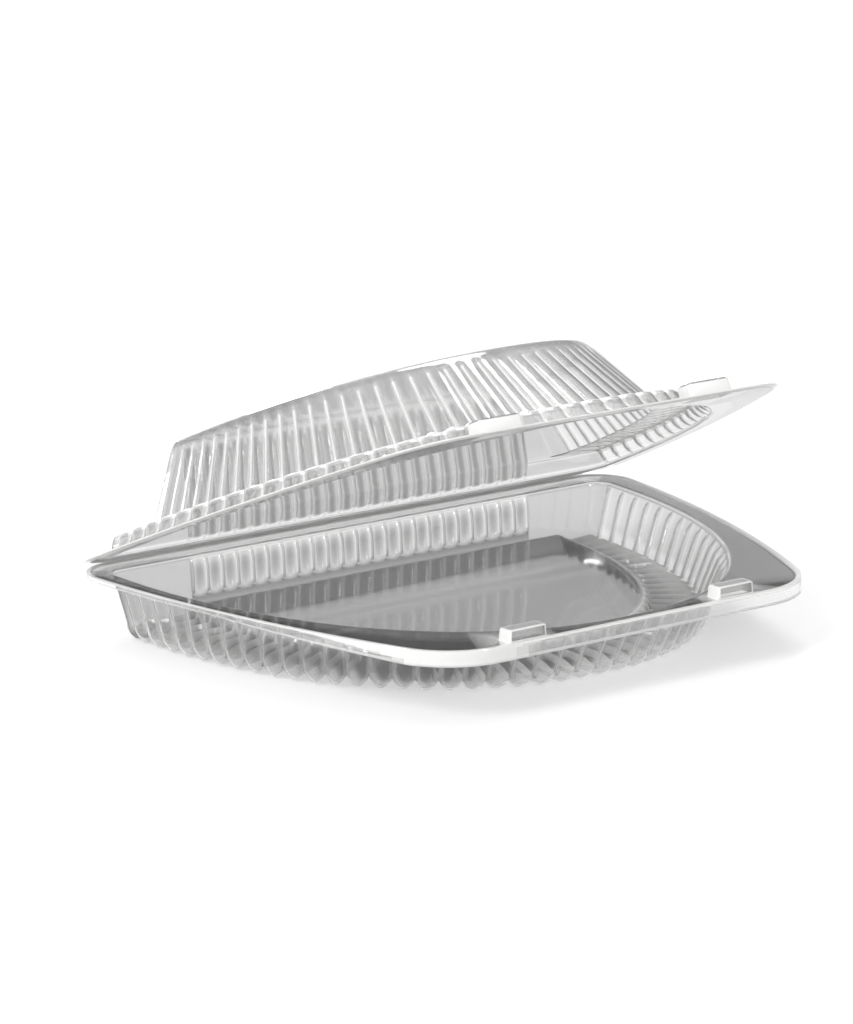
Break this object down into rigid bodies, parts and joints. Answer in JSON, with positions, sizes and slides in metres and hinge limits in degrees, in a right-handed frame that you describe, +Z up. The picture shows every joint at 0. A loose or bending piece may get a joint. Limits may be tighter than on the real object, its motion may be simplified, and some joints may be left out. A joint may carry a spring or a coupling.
{
  "type": "hinged clear plastic clamshell food pack",
  "caption": "Half-moon clear plastic clamshell pack with a fluted tray, a fluted dome lid on a living hinge and snap boxes on the front flange.",
  "frame": {"origin": "under the middle of the pack's plan, on the surface that it stands on", "axes": "+X along the hinge, to the right seen from the opening front; -Y towards the opening front; +Z up"},
  "size_m": [0.2366, 0.167, 0.1045],
  "materials": {
    "clear_sheet": "clear thermoformed sheet, glossy"
  },
  "bodies": {
    "base": {"base_tray": "clear_sheet"},
    "lid": {"lid": "clear_sheet"}
  },
  "joints": [
    {"name": "lid_hinge", "type": "hinge", "parent": "base", "child": "lid", "pos_m": [0, 0.08345, 0.02495], "axis": [-1, 0, 0], "range_deg": [-24, 156]}
  ]
}
